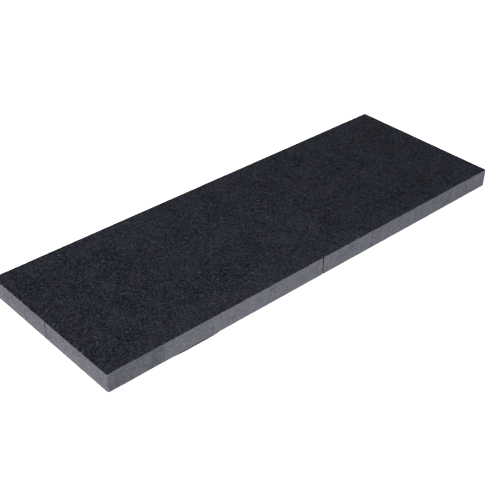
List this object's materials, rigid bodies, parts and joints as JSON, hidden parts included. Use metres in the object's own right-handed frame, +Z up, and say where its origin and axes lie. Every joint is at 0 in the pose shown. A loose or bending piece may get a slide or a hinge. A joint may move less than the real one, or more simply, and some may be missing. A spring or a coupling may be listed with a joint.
{
  "type": "granite slab for leather work",
  "caption": "Long thin black granite slab for tooling and punching leather, glued up from sawn tiles in two rows on a thin non-slip sheet.",
  "frame": {"origin": "centre of the slab's footprint, on the bench", "axes": "+X along the slab, +Y across it from the near row of tiles to the far row, +Z up through its thickness"},
  "size_m": [0.305, 0.1076, 0.0128],
  "materials": {
    "granite": "near-black fine-grained granite: honed on the working face, sawn and paler grey on the sides",
    "glue_line": "grey epoxy, set just below the arrises",
    "non_slip_sheet": "matt black, finely pebbled"
  },
  "bodies": {
    "root": {"near_tile_1": "granite", "near_tile_2": "granite", "near_tile_3": "granite", "near_tile_4": "granite", "near_tile_5": "granite", "near_tile_6": "granite", "near_tile_7": "granite", "near_tile_8": "granite", "far_tile_1": "granite", "far_tile_2": "granite", "far_tile_3": "granite", "far_tile_4": "granite", "far_tile_5": "granite", "far_tile_6": "granite", "far_tile_7": "granite", "far_tile_8": "granite", "non_slip_sheet": "non_slip_sheet"}
  },
  "joints": []
}
